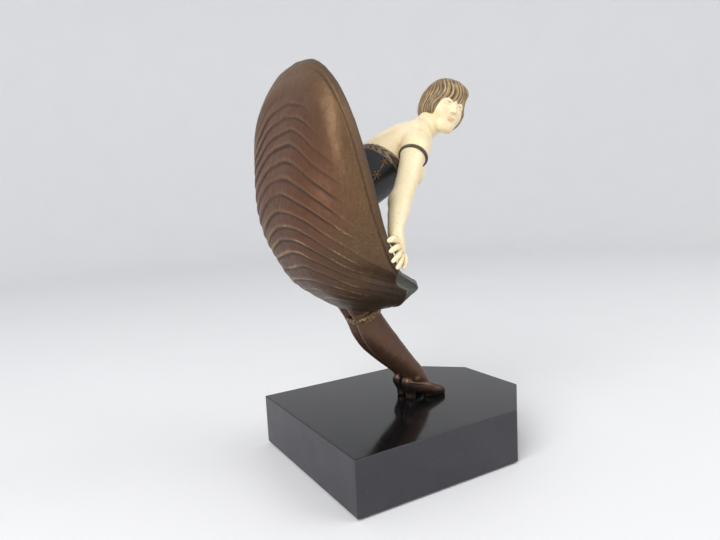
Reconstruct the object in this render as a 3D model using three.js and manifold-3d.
// Bronze and ivory-coloured statuette of a bowing dancer whose skirt stands up behind her
// like a scallop shell, on a polished black stone base with two cut corners.
// Millimetres, +Z up. The origin is the centre of the base's underside, +X is the way
// the dancer bows and +Y is her left-hand side.
import * as THREE from 'three';
import { mergeVertices } from 'three/addons/utils/BufferGeometryUtils.js';
import Module from 'manifold-3d';

const wasm = await Module();
wasm.setup();

// ---------------------------------------------------------------- driving dimensions
const GAP = 0.3;                 // clearance between neighbouring pieces

const BASE_LENGTH = 137.4;       // along X
const BASE_WIDTH = 115;          // along Y
const BASE_TOP = 31;             // height of the stone's top face
const CORNER_CUT = 33;           // legs of the 45 degree corners at the +X end
const EDGE_BEVEL = 0.7;
const FELT_THICKNESS = 0.7;
const FELT_INSET = 2.5;

const BODICE_GAP = 0.4;          // clearance between the bodice and the body it wraps

const SKIRT_WALL = 2;
const SKIRT_TURN = 3;            // degrees that the shell is turned about the vertical
const SKIRT_AXIS_X = -40;        // the vertical line that it is turned about
const SECTION_POWER = 3;         // 2 is an ellipse, more is squarer at the corners
const RIB_PITCH = 8;             // along the middle of the back
const RIB_HEIGHT = 0.45;
const SKIRT_COLUMNS = 24;

const STUD_X = 14;               // the studs stand under the balls of the feet
const STUD_Y = 7.4;
const STUD_RADIUS = 1.5;
const CLEAR_RADIUS = 1.8;
const COUNTERBORE_RADIUS = 5;
const COUNTERBORE_TOP = 9;
const WASHER_RADIUS = 4.2;
const WASHER_THICKNESS = 1;
const NUT_FLATS = 5.5;
const NUT_THICKNESS = 2.4;

const DOWEL_RADIUS = 1.2;
const HAND_PIN_RADIUS = 0.5;
const ARMLET_RADIUS = 7.6;
const ARMLET_WIRE = 0.65;

const RIGHT = -1;                // the dancer's right is at -Y
const LEFT = 1;

// ---------------------------------------------------------------- materials
const material = (color, roughness, metalness) =>
  new THREE.MeshStandardMaterial({ color, roughness, metalness });
const stone = material('#16161a', 0.08, 0);
const baize = material('#1d2b22', 0.95, 0);
const bronze = material('#5f463a', 0.45, 0.8);
const stocking = material('#4a342a', 0.45, 0.7);
const ivory = material('#efe3c4', 0.4, 0);
const lacquer = material('#26282c', 0.4, 0.5);
const gilt = material('#b58a45', 0.4, 0.9);
const steel = material('#8c8f94', 0.35, 1);

const figure = new THREE.Group();

function addPiece(name, geometry, pieceMaterial) {
  const mesh = new THREE.Mesh(geometry, pieceMaterial);
  mesh.name = name;
  figure.add(mesh);
}

// ---------------------------------------------------------------- solids
function weld(geometry) {
  const bare = geometry.clone();
  bare.deleteAttribute('normal');
  bare.deleteAttribute('uv');
  return mergeVertices(bare, 1e-4);
}

function solidOf(geometry) {
  const welded = weld(geometry);
  return new wasm.Manifold(new wasm.Mesh({
    numProp: 3,
    vertProperties: new Float32Array(welded.attributes.position.array),
    triVerts: new Uint32Array(welded.index.array),
  }));
}

function geometryOf(solid) {
  const mesh = solid.getMesh();
  const geometry = new THREE.BufferGeometry();
  geometry.setAttribute('position', new THREE.BufferAttribute(mesh.vertProperties, 3));
  geometry.setIndex(new THREE.BufferAttribute(mesh.triVerts, 1));
  geometry.computeVertexNormals();
  return geometry;
}

const join = (solids) => solids.reduce((whole, solid) => whole.add(solid));
const cut = (solid, tools) => tools.reduce((rest, tool) => rest.subtract(tool), solid);

/** A round bar between two points. */
function bar(from, to, radius, sides = 12) {
  const start = new THREE.Vector3(...from);
  const end = new THREE.Vector3(...to);
  const geometry = new THREE.CylinderGeometry(radius, radius, start.distanceTo(end), sides);
  const direction = end.clone().sub(start).normalize();
  geometry.applyQuaternion(new THREE.Quaternion().setFromUnitVectors(new THREE.Vector3(0, 1, 0), direction));
  geometry.translate(...start.add(end).multiplyScalar(0.5).toArray());
  return geometry;
}

/** A box given by its lowest and highest corners. */
function boxBetween(low, high) {
  const size = high.map((value, axis) => value - low[axis]);
  const middle = high.map((value, axis) => (value + low[axis]) / 2);
  return new THREE.BoxGeometry(...size).translate(...middle);
}

/** A scaled and placed sphere. */
function ball(centre, radii, turn = 0, widthSides = 16, heightSides = 12) {
  const geometry = new THREE.SphereGeometry(1, widthSides, heightSides);
  geometry.rotateX(Math.PI / 2);
  geometry.scale(...radii);
  geometry.rotateZ(THREE.MathUtils.degToRad(turn));
  return geometry.translate(...centre);
}

/** The stations of a limb on one side: x, y, z, radius across, radius fore and aft. */
const onSide = (side, stations) => stations.map(([x, y, z, across, along]) => [x, side * y, z, across, along]);

/**
 * A closed body of oval rings strung along a smooth curve. Each station is a centre and two
 * radii: the first is measured along `acrossAxis`, the second at right angles to it.
 * `grow` swells the body by a clearance.
 */
function loft(stations, { sides = 12, steps = 8, acrossAxis = [0, 1, 0], grow = 0 } = {}) {
  const centreLine = new THREE.CatmullRomCurve3(
    stations.map(([x, y, z]) => new THREE.Vector3(x, y, z)), false, 'centripetal');
  const positions = [];
  const last = stations.length - 1;
  for (let ring = 0; ring <= steps; ring += 1) {
    const t = ring / steps;
    const centre = centreLine.getPoint(t);
    const tangent = centreLine.getTangent(t);
    const across = new THREE.Vector3(...acrossAxis);
    across.addScaledVector(tangent, -across.dot(tangent)).normalize();
    const along = new THREE.Vector3().crossVectors(tangent, across);
    if (ring === 0) centre.addScaledVector(tangent, -grow);
    if (ring === steps) centre.addScaledVector(tangent, grow);
    const place = Math.min(Math.floor(t * last), last - 1);
    const mix = THREE.MathUtils.smoothstep(t * last - place, 0, 1);
    const radiusAcross = THREE.MathUtils.lerp(stations[place][3], stations[place + 1][3], mix) + grow;
    const radiusAlong = THREE.MathUtils.lerp(stations[place][4], stations[place + 1][4], mix) + grow;
    for (let side = 0; side < sides; side += 1) {
      const angle = (side / sides) * 2 * Math.PI;
      const point = centre.clone()
        .addScaledVector(across, radiusAcross * Math.cos(angle))
        .addScaledVector(along, radiusAlong * Math.sin(angle));
      positions.push(...point.toArray());
    }
  }
  const index = [];
  for (let ring = 0; ring < steps; ring += 1) {
    for (let side = 0; side < sides; side += 1) {
      const next = (side + 1) % sides;
      const a = ring * sides + side;
      const b = ring * sides + next;
      const c = (ring + 1) * sides + next;
      const d = (ring + 1) * sides + side;
      index.push(a, b, c, a, c, d);
    }
  }
  for (let side = 1; side < sides - 1; side += 1) {
    const top = steps * sides;
    index.push(0, side + 1, side, top, top + side, top + side + 1);
  }
  const geometry = new THREE.BufferGeometry();
  geometry.setAttribute('position', new THREE.Float32BufferAttribute(positions, 3));
  geometry.setIndex(index);
  return geometry;
}

/** Gives an open sheet, already welded, a wall on the side away from its normals. */
function thicken(sheet, wall) {
  sheet.computeVertexNormals();
  const { position, normal } = sheet.attributes;
  const count = position.count;
  const points = Array.from(position.array);
  for (let vertex = 0; vertex < count; vertex += 1) {
    points.push(
      position.getX(vertex) - wall * normal.getX(vertex),
      position.getY(vertex) - wall * normal.getY(vertex),
      position.getZ(vertex) - wall * normal.getZ(vertex));
  }
  const outer = Array.from(sheet.index.array);
  const edges = new Set();
  for (let corner = 0; corner < outer.length; corner += 3) {
    const [a, b, c] = outer.slice(corner, corner + 3);
    [[a, b], [b, c], [c, a]].forEach(([from, to]) => edges.add(`${from},${to}`));
  }
  const index = [...outer];
  for (let corner = 0; corner < outer.length; corner += 3) {
    index.push(outer[corner] + count, outer[corner + 2] + count, outer[corner + 1] + count);
  }
  edges.forEach((edge) => {
    const [from, to] = edge.split(',').map(Number);
    if (!edges.has(`${to},${from}`)) {
      index.push(to, from, from + count, to, from + count, to + count);
    }
  });
  const geometry = new THREE.BufferGeometry();
  geometry.setAttribute('position', new THREE.Float32BufferAttribute(points, 3));
  geometry.setIndex(index);
  return geometry;
}

// ---------------------------------------------------------------- base
function baseOutline(inset = 0) {
  const halfLength = BASE_LENGTH / 2 - inset;
  const halfWidth = BASE_WIDTH / 2 - inset;
  const cornerCut = CORNER_CUT - inset * (2 - Math.SQRT2);
  return new THREE.Shape([
    new THREE.Vector2(-halfLength, -halfWidth),
    new THREE.Vector2(halfLength - cornerCut, -halfWidth),
    new THREE.Vector2(halfLength, -halfWidth + cornerCut),
    new THREE.Vector2(halfLength, halfWidth - cornerCut),
    new THREE.Vector2(halfLength - cornerCut, halfWidth),
    new THREE.Vector2(-halfLength, halfWidth),
  ]);
}

const stoneBottom = FELT_THICKNESS + GAP;
const slab = new THREE.ExtrudeGeometry(baseOutline(EDGE_BEVEL), {
  depth: BASE_TOP - stoneBottom - 2 * EDGE_BEVEL,
  bevelThickness: EDGE_BEVEL,
  bevelSize: EDGE_BEVEL,
  bevelSegments: 1,
}).translate(0, 0, stoneBottom + EDGE_BEVEL);
const felt = new THREE.ExtrudeGeometry(baseOutline(FELT_INSET), { depth: FELT_THICKNESS, bevelEnabled: false });

const studAxis = (side, low, high) => [[STUD_X, side * STUD_Y, low], [STUD_X, side * STUD_Y, high]];
const bothSides = [RIGHT, LEFT];
const studHoles = bothSides.map((side) => solidOf(bar(...studAxis(side, 0, BASE_TOP + 4), CLEAR_RADIUS)));
const counterbores = bothSides.map((side) =>
  solidOf(bar(...studAxis(side, 0, COUNTERBORE_TOP), COUNTERBORE_RADIUS, 24)));
addPiece('marble_base', geometryOf(cut(solidOf(slab), [...studHoles, ...counterbores])), stone);
addPiece('base_felt', felt, baize);

function addStud(side, name) {
  const washerTop = COUNTERBORE_TOP - GAP;
  const nutTop = washerTop - WASHER_THICKNESS - GAP;
  const hole = solidOf(bar(...studAxis(side, 0, BASE_TOP), CLEAR_RADIUS));
  const washer = solidOf(bar(...studAxis(side, washerTop - WASHER_THICKNESS, washerTop), WASHER_RADIUS, 20));
  const nutRadius = NUT_FLATS / Math.sqrt(3);
  const nut = solidOf(bar(...studAxis(side, nutTop - NUT_THICKNESS, nutTop), nutRadius, 6));
  addPiece(`stud_${name}`, bar(...studAxis(side, nutTop - NUT_THICKNESS - 1, BASE_TOP + 3.4), STUD_RADIUS), steel);
  addPiece(`stud_washer_${name}`, geometryOf(washer.subtract(hole)), steel);
  addPiece(`stud_nut_${name}`, geometryOf(nut.subtract(hole)), steel);
}
addStud(RIGHT, 'right');
addStud(LEFT, 'left');

// ---------------------------------------------------------------- skirt
// The shell is strung between two curves: the keel runs down the middle of the back and
// under the knees, as x and z, and the rim is the hem on the dancer's left as x, y and z.
const KEEL = [
  [-59, 224.5], [-62.5, 220.5], [-66.5, 212], [-70.5, 199], [-74, 182], [-76.5, 165], [-77, 149],
  [-75, 134], [-71, 121], [-63.5, 108.5], [-51, 98.5], [-38, 90.5], [-25, 88], [-11, 93],
];
const RIM = [
  [-59, 0, 224.5], [-59.5, 20, 221], [-58.8, 36, 209], [-56, 46, 190], [-50.5, 50.5, 162],
  [-44.5, 50, 139], [-38, 48.5, 123], [-30, 45, 112], [-15.5, 38.5, 103.5], [-17, 33, 97],
  [-17, 27, 92], [-15, 17, 90.5], [-13, 8, 91], [-11, 0, 93],
];
const keelCurve = new THREE.CatmullRomCurve3(KEEL.map(([x, z]) => new THREE.Vector3(x, 0, z)));
const rimCurve = new THREE.CatmullRomCurve3(RIM.map((point) => new THREE.Vector3(...point)));
const keelRows = Math.round(keelCurve.getLength() / (RIB_PITCH / 2));

/** A point on the shell: row 0 is the top of the hem, column -1 and 1 are its two sides. */
function skirtPoint(row, column) {
  const t = keelCurve.getUtoTmapping(row / keelRows);
  const keel = keelCurve.getPoint(t);
  const rim = rimCurve.getPoint(t);
  const angle = column * Math.PI / 2;
  const power = 2 / SECTION_POWER;
  const forward = 1 - Math.abs(Math.cos(angle)) ** power;
  const sideways = Math.sign(column) * Math.abs(Math.sin(angle)) ** power;
  return new THREE.Vector3(
    THREE.MathUtils.lerp(keel.x, rim.x, forward),
    rim.y * sideways,
    THREE.MathUtils.lerp(keel.z, rim.z, forward));
}

/** Rows alternate between rib crests and the grooves between them, fading out at the hem. */
function ribOffset(row, column) {
  const fadeSides = 1 - THREE.MathUtils.smoothstep(Math.abs(column), 0.45, 0.75);
  const fadeEnds = THREE.MathUtils.smoothstep(row, 3, 7) * THREE.MathUtils.smoothstep(keelRows - row, 4, 12);
  return (row % 2 ? 1 : -1) * RIB_HEIGHT * fadeSides * fadeEnds;
}

const turnSkirt = (geometry) => geometry
  .translate(-SKIRT_AXIS_X, 0, 0)
  .rotateZ(THREE.MathUtils.degToRad(SKIRT_TURN))
  .translate(SKIRT_AXIS_X, 0, 0);

function skirtSheet() {
  const points = [];
  for (let row = 0; row <= keelRows; row += 1) {
    for (let step = 0; step <= SKIRT_COLUMNS; step += 1) {
      const column = (2 * step) / SKIRT_COLUMNS - 1;
      const point = skirtPoint(row, column);
      const outward = new THREE.Vector3(SKIRT_AXIS_X, 0, 130).sub(point).normalize().negate();
      points.push(...point.addScaledVector(outward, ribOffset(row, column)).toArray());
    }
  }
  const index = [];
  const width = SKIRT_COLUMNS + 1;
  for (let row = 0; row < keelRows; row += 1) {
    for (let step = 0; step < SKIRT_COLUMNS; step += 1) {
      const a = row * width + step;
      const b = a + 1;
      const c = b + width;
      const d = a + width;
      if (row > 0) index.push(a, b, c);
      if (row < keelRows - 1) index.push(a, c, d);
    }
  }
  const geometry = new THREE.BufferGeometry();
  geometry.setAttribute('position', new THREE.Float32BufferAttribute(points, 3));
  geometry.setIndex(index);
  return geometry;
}

// ---------------------------------------------------------------- legs and shoes
const LEG = [
  [-34.5, 5.5, 97.5, 4.9, 7.4], [-28.6, 5.5, 88, 5, 7.6], [-23.5, 5.5, 78, 5.1, 8.7],
  [-18.6, 5.5, 71, 5.1, 8.9], [-11.2, 5.4, 62.5, 4.9, 7.8], [-1.2, 5.1, 51.8, 4.2, 6.2],
  [4.4, 5, 45.5, 4, 5.6], [8.6, 5.2, 39, 3.6, 4.2],
];
const FOOT = [
  [-3.5, 4.8, 41.6, 2.6, 3.2], [-0.5, 5, 40, 3.5, 4.3], [6, 6, 38.2, 3.7, 4.4],
  [12, 7, 36, 4, 3.5], [16, 7.7, 34.4, 3.9, 2.7], [20.2, 8.4, 33.4, 2.9, 1.9], [23, 8.9, 33, 1.3, 1.2],
];
const HEEL = [[1.8, 4.9, 38.5, 3, 3.6], [1.4, 4.9, 34.8, 2.5, 2.9], [1.2, 4.9, BASE_TOP + GAP, 2.6, 3.1]];
const SHOE_FLOOR = BASE_TOP + GAP;

const leg = (side, grow = 0) => loft(onSide(side, LEG), { sides: 14, steps: 14, grow });
const legClearances = bothSides.map((side) => solidOf(leg(side, GAP)));

function addLeg(side, name) {
  const foot = solidOf(loft(onSide(side, FOOT), { sides: 12, steps: 12 }));
  const heel = solidOf(loft(onSide(side, HEEL), { sides: 10, steps: 4 }));
  const underFloor = solidOf(boxBetween([-20, -25, 20], [40, 25, SHOE_FLOOR]));
  const studHole = solidOf(bar(...studAxis(side, 20, BASE_TOP + 4), CLEAR_RADIUS));
  const otherSide = solidOf(boxBetween([-60, Math.min(0, -side * 30), 20], [40, Math.max(0, -side * 30), 120]));
  const whole = join([solidOf(leg(side)), foot, heel]);
  addPiece(`leg_${name}`, geometryOf(cut(whole, [underFloor, studHole, otherSide])), stocking);
}
addLeg(RIGHT, 'right');
addLeg(LEFT, 'left');

// A gilt petticoat edge rings both legs just under the skirt.
const BAND = [[-28.9, 0, 88.3, 12.6, 10.4], [-26.8, 0, 84.4, 12.6, 10.4]];
const BAND_INSIDE = [[-31.4, 0, 93, 11.2, 8.8], [-24.3, 0, 79.7, 11.2, 8.8]];
const band = solidOf(loft(BAND, { sides: 20, steps: 1 }));
const bandInside = solidOf(loft(BAND_INSIDE, { sides: 20, steps: 2 }));
addPiece('petticoat_band', geometryOf(cut(band, [bandInside, ...legClearances])), gilt);

// ---------------------------------------------------------------- hips, inside the shell
const HIPS = [
  [-33, 0, 160.5, 13, 12], [-44, 0, 153, 16.5, 14], [-55, 0, 144, 19.5, 14.5], [-60, 0, 136, 18, 12],
];
const THIGH = [[-55, 9.5, 142, 9, 11], [-47, 8.5, 122, 8.2, 10.5], [-38, 6.5, 103, 6, 8.6], [-35, 5.6, 98.6, 5, 7.6]];
const SKIRT_SCREW_HEIGHTS = { upper: 153, lower: 138 };
const skirtScrew = (z, radius, reach = 0) => bar([-75 - reach, -2.2, z], [-60, -2.2, z], radius);
const WAIST_ROD = [[-42, 0, 156], [-6, 0, 173]];
const screwHoles = Object.values(SKIRT_SCREW_HEIGHTS).map((z) => solidOf(skirtScrew(z, CLEAR_RADIUS, 6)));
const waistHole = solidOf(bar(WAIST_ROD[0], WAIST_ROD[1], CLEAR_RADIUS));

const NECKLINE = { x: -11.5, z: 178, turn: 40.5 };   // the slanting plane of the bodice's top edge
const BODICE = [
  [-35, 0, 159.6, 14, 13], [-26, 0, 163.6, 15.2, 14.6], [-16, 0, 167.8, 18, 17.3],
  [-5, 0, 173.6, 19.8, 17.8], [6, 0, 178.5, 20, 16],
];
const bodiceBody = (grow = 0) => loft(BODICE, { sides: 20, steps: 9, grow });

const pelvis = solidOf(loft(HIPS, { sides: 18, steps: 7 }));
const rump = solidOf(ball([-59, 0, 139], [12, 17, 12.5]));
const thighs = bothSides.map((side) => solidOf(loft(onSide(side, THIGH), { sides: 12, steps: 6 })));
const hipCasting = cut(join([pelvis, rump, ...thighs]),
  [...legClearances, ...screwHoles, waistHole, solidOf(bodiceBody(GAP))]);
addPiece('hip_casting', geometryOf(hipCasting), bronze);
Object.entries(SKIRT_SCREW_HEIGHTS).forEach(([name, z]) =>
  addPiece(`skirt_screw_${name}`, skirtScrew(z, STUD_RADIUS), steel));
addPiece('waist_rod', bar([-41.5, 0, 156.2], [-6.5, 0, 172.8], STUD_RADIUS), steel);

const legOpening = solidOf(loft([[-39, 0, 107, 13.2, 11], [-29, 0, 88.3, 13.2, 11], [-23, 0, 77, 13.2, 11]],
  { sides: 20, steps: 3 }));
const handPin = (side, radius) => {
  const y = side * 47.4;
  const x = SKIRT_AXIS_X + 4 - side * 2.6;
  return bar([x - 3.2, y, 124], [x + 3.6, y, 124], radius, 8);
};
const pinHoles = bothSides.map((side) => solidOf(handPin(side, HAND_PIN_RADIUS + GAP)));
const shell = solidOf(turnSkirt(thicken(weld(skirtSheet()), SKIRT_WALL)));
addPiece('skirt', geometryOf(cut(shell, [legOpening, ...screwHoles, ...pinHoles])), bronze);

// ---------------------------------------------------------------- bodice and upper body
const TORSO = [
  [-14, 0, 169.4, 15.4, 14.2], [-4, 0, 174.5, 18, 15.3], [4, 0, 179.5, 18.5, 14], [9, 0, 183, 16.5, 11.2],
  [14, 0, 186.8, 11, 8], [18.5, 0, 189.8, 6.6, 6], [21, 0, 191.6, 5.6, 5.4],
];
const SHOULDER = [[3, 11, 181.5, 8.5, 9], [0, 19, 179.6, 8, 8], [-3, 23, 176.4, 7, 7], [-4.2, 24.2, 174.2, 6.6, 6.6]];
const ARM = [
  [-4.8, 24.7, 173.2, 6.4, 6.3], [-12, 29.4, 162.5, 6.2, 6.4], [-19.5, 34.5, 151.5, 5.9, 6.2],
  [-26, 39.8, 141.5, 5.4, 5.7], [-31, 44.2, 133, 3.9, 4.4], [-32.5, 45.6, 129.6, 3.5, 4.3],
];
const HAND = [[-31.7, 45.2, 130.4, 3.3, 4], [-29.9, 46, 125, 2.8, 3.9], [-28, 45.6, 120.8, 2.4, 3], [-26.4, 45, 117.6, 1.4, 1.8]];
const LEFT_REACH = 3.6;          // the turned skirt puts the left-hand rim this much further back

/** An arm's stations on one side, with the left hand carried back to its rim. */
function armStations(side, stations) {
  return onSide(side, stations).map(([x, y, z, across, along]) => {
    const reach = side === LEFT ? LEFT_REACH * THREE.MathUtils.clamp((165 - z) / 35, 0, 1) : 0;
    return [x - reach, y, z, across, along];
  });
}

const NECK = [[20.5, -0.3, 191.2, 5.4, 5.4], [25, -0.8, 195.2, 5.4, 5.6], [31, -1.5, 201, 6, 6.4]];

const NECK_DOWEL = [[15, 0, 187.6], [28, -1.4, 198.4]];
const SHOULDER_HOLE = [[0, 20.5, 180], [-9, 27.5, 166.8]];
const SHOULDER_DOWEL = [[-0.4, 20.8, 179.4], [-8.6, 27.2, 167.4]];
const between = (side, [from, to], radius) =>
  bar([from[0], side * from[1], from[2]], [to[0], side * to[1], to[2]], radius);
const neckHole = solidOf(bar(NECK_DOWEL[0], NECK_DOWEL[1], DOWEL_RADIUS + GAP));
const shoulderHoles = bothSides.map((side) => solidOf(between(side, SHOULDER_HOLE, DOWEL_RADIUS + GAP)));

const armLoft = (side, grow = 0) =>
  loft(armStations(side, ARM), { sides: 12, steps: 10, acrossAxis: [1, 0, 0], grow });
const armClearances = bothSides.map((side) => solidOf(armLoft(side, GAP)));
const neck = (grow = 0) => loft(NECK, { sides: 14, steps: 4, grow });
const torsoBody = (grow = 0) => loft(TORSO, { sides: 20, steps: 11, grow });
const bust = (side, grow = 0) => ball([4.5, side * 9.2, 168.5], [8.3 + grow, 8 + grow, 8.3 + grow], 0, 14, 10);
const shoulder = (side, grow = 0) =>
  loft(onSide(side, SHOULDER), { sides: 12, steps: 5, acrossAxis: [1, 0, 0], grow });
const armlet = (side, grow = 0) => {
  const armDirection = new THREE.Vector3(-7, side * 5, -11).normalize();
  const ring = new THREE.TorusGeometry(ARMLET_RADIUS, ARMLET_WIRE + grow, 6, 22);
  ring.applyQuaternion(new THREE.Quaternion().setFromUnitVectors(new THREE.Vector3(0, 0, 1), armDirection));
  return ring.translate(-4.6, side * 24.5, 173.6);
};
const armletClearances = bothSides.map((side) => solidOf(armlet(side, GAP)));
const upperBody = (grow = 0) => join([
  solidOf(torsoBody(grow)),
  ...bothSides.map((side) => solidOf(bust(side, grow))),
  ...bothSides.map((side) => solidOf(shoulder(side, grow))),
]);
addPiece('torso', geometryOf(cut(upperBody(),
  [...armClearances, ...armletClearances, solidOf(neck(GAP)), neckHole, waistHole, ...shoulderHoles])), ivory);

const aboveNeckline = new THREE.BoxGeometry(60, 80, 90).translate(30, 0, 0)
  .rotateY(THREE.MathUtils.degToRad(-NECKLINE.turn)).translate(NECKLINE.x, 0, NECKLINE.z);
addPiece('bodice', geometryOf(cut(solidOf(bodiceBody()),
  [solidOf(aboveNeckline), upperBody(BODICE_GAP), ...armClearances, ...armletClearances, waistHole])), lacquer);

// ---------------------------------------------------------------- head
const HEAD_CENTRE = [37.5, -3, 206.5];
const skull = solidOf(ball(HEAD_CENTRE, [11.5, 13.5, 16.5]));
const bobbedHair = solidOf(ball([37, 0, 209.5], [14.6, 14.8, 14]));
const belowBob = solidOf(boxBetween([0, -40, 150], [80, 40, 201]));
addPiece('head', geometryOf(cut(join([skull, bobbedHair.subtract(belowBob), solidOf(neck())]), [neckHole])), ivory);
addPiece('neck_dowel', bar([15.4, 0, 187.9], [27.6, -1.4, 198.1], DOWEL_RADIUS), steel);

// ---------------------------------------------------------------- arms, armlets and pins
function addArm(side, name) {
  const hand = solidOf(loft(armStations(side, HAND), { sides: 10, steps: 6, acrossAxis: [0, 1, 0] }));
  const arm = cut(join([solidOf(armLoft(side)), hand]), [...shoulderHoles, ...pinHoles]);
  addPiece(`arm_${name}`, geometryOf(arm), ivory);
  addPiece(`shoulder_dowel_${name}`, between(side, SHOULDER_DOWEL, DOWEL_RADIUS), steel);
  addPiece(`hand_pin_${name}`, handPin(side, HAND_PIN_RADIUS), steel);
  addPiece(`armlet_${name}`, armlet(side), lacquer);
}
addArm(RIGHT, 'right');
addArm(LEFT, 'left');

export default figure;
